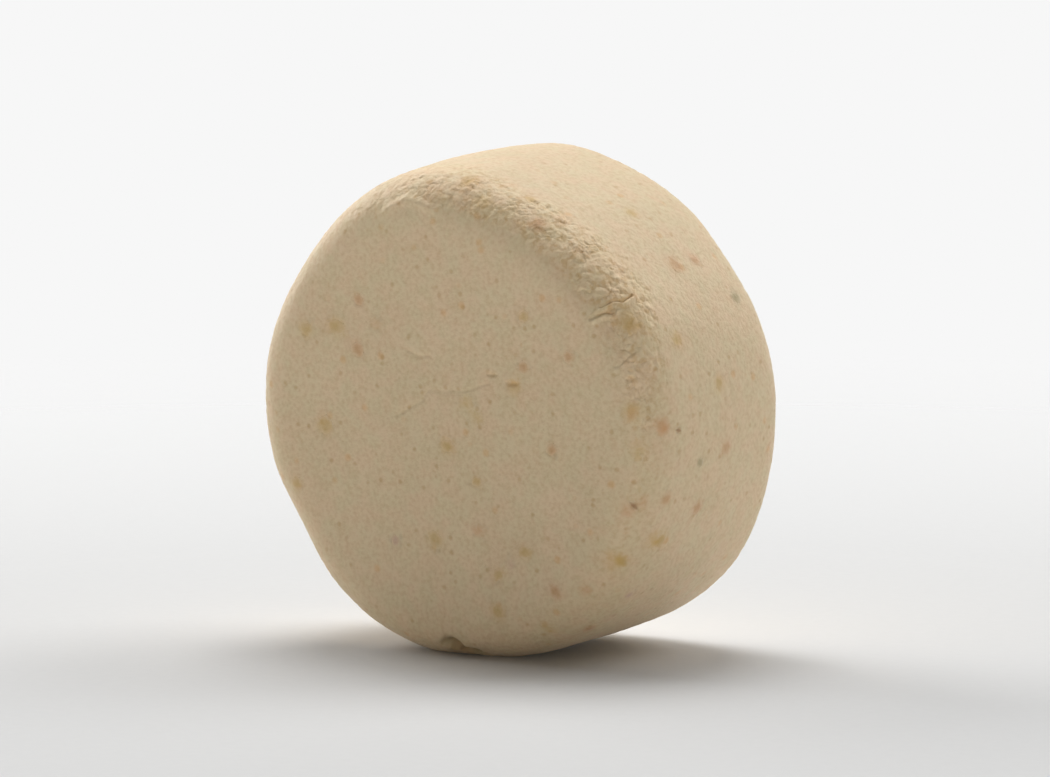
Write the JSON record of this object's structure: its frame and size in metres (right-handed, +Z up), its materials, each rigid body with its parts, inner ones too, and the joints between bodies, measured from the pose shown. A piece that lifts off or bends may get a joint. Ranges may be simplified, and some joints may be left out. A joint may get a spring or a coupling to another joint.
{
  "type": "shaving soap puck",
  "caption": "Hand-pressed round puck of hard shaving soap with a smooth face, a crumbly edge and ground botanical flecks, standing on its rim.",
  "frame": {"origin": "on the floor, under the middle of the puck's bounding box, as it stands on its rim", "axes": "+Z up, Y along the puck's axis, which is tipped up 5 degrees towards +Y, with the smooth front face towards -Y, and +X to the right of the front face"},
  "size_m": [0.0598, 0.0342, 0.0605],
  "materials": {
    "soap": "matte",
    "ochre_fleck": "matte",
    "rust_fleck": "matte",
    "petal_fleck": "matte",
    "leaf_fleck": "matte",
    "stem_sliver": "matte"
  },
  "bodies": {
    "root": {"leaf_fleck_01": "leaf_fleck", "leaf_fleck_02": "leaf_fleck", "leaf_fleck_03": "leaf_fleck", "leaf_fleck_04": "leaf_fleck", "leaf_fleck_05": "leaf_fleck", "ochre_fleck_01": "ochre_fleck", "ochre_fleck_02": "ochre_fleck", "ochre_fleck_03": "ochre_fleck", "ochre_fleck_04": "ochre_fleck", "ochre_fleck_05": "ochre_fleck", "ochre_fleck_06": "ochre_fleck", "ochre_fleck_07": "ochre_fleck", "ochre_fleck_08": "ochre_fleck", "ochre_fleck_09": "ochre_fleck", "ochre_fleck_10": "ochre_fleck", "ochre_fleck_11": "ochre_fleck", "ochre_fleck_12": "ochre_fleck", "ochre_fleck_13": "ochre_fleck", "ochre_fleck_14": "ochre_fleck", "ochre_fleck_15": "ochre_fleck", "ochre_fleck_16": "ochre_fleck", "ochre_fleck_17": "ochre_fleck", "ochre_fleck_18": "ochre_fleck", "ochre_fleck_19": "ochre_fleck", "ochre_fleck_20": "ochre_fleck", "ochre_fleck_21": "ochre_fleck", "ochre_fleck_22": "ochre_fleck", "ochre_fleck_23": "ochre_fleck", "ochre_fleck_24": "ochre_fleck", "ochre_fleck_25": "ochre_fleck", "petal_fleck_01": "petal_fleck", "petal_fleck_02": "petal_fleck", "petal_fleck_03": "petal_fleck", "petal_fleck_04": "petal_fleck", "petal_fleck_05": "petal_fleck", "rust_fleck_01": "rust_fleck", "rust_fleck_02": "rust_fleck", "rust_fleck_03": "rust_fleck", "rust_fleck_04": "rust_fleck", "rust_fleck_05": "rust_fleck", "rust_fleck_06": "rust_fleck", "rust_fleck_07": "rust_fleck", "rust_fleck_08": "rust_fleck", "rust_fleck_09": "rust_fleck", "rust_fleck_10": "rust_fleck", "rust_fleck_11": "rust_fleck", "rust_fleck_12": "rust_fleck", "rust_fleck_13": "rust_fleck", "rust_fleck_14": "rust_fleck", "rust_fleck_15": "rust_fleck", "rust_fleck_16": "rust_fleck", "rust_fleck_17": "rust_fleck", "rust_fleck_18": "rust_fleck", "rust_fleck_19": "rust_fleck", "soap_body": "soap", "stem_sliver_01": "stem_sliver", "stem_sliver_02": "stem_sliver"}
  },
  "joints": []
}
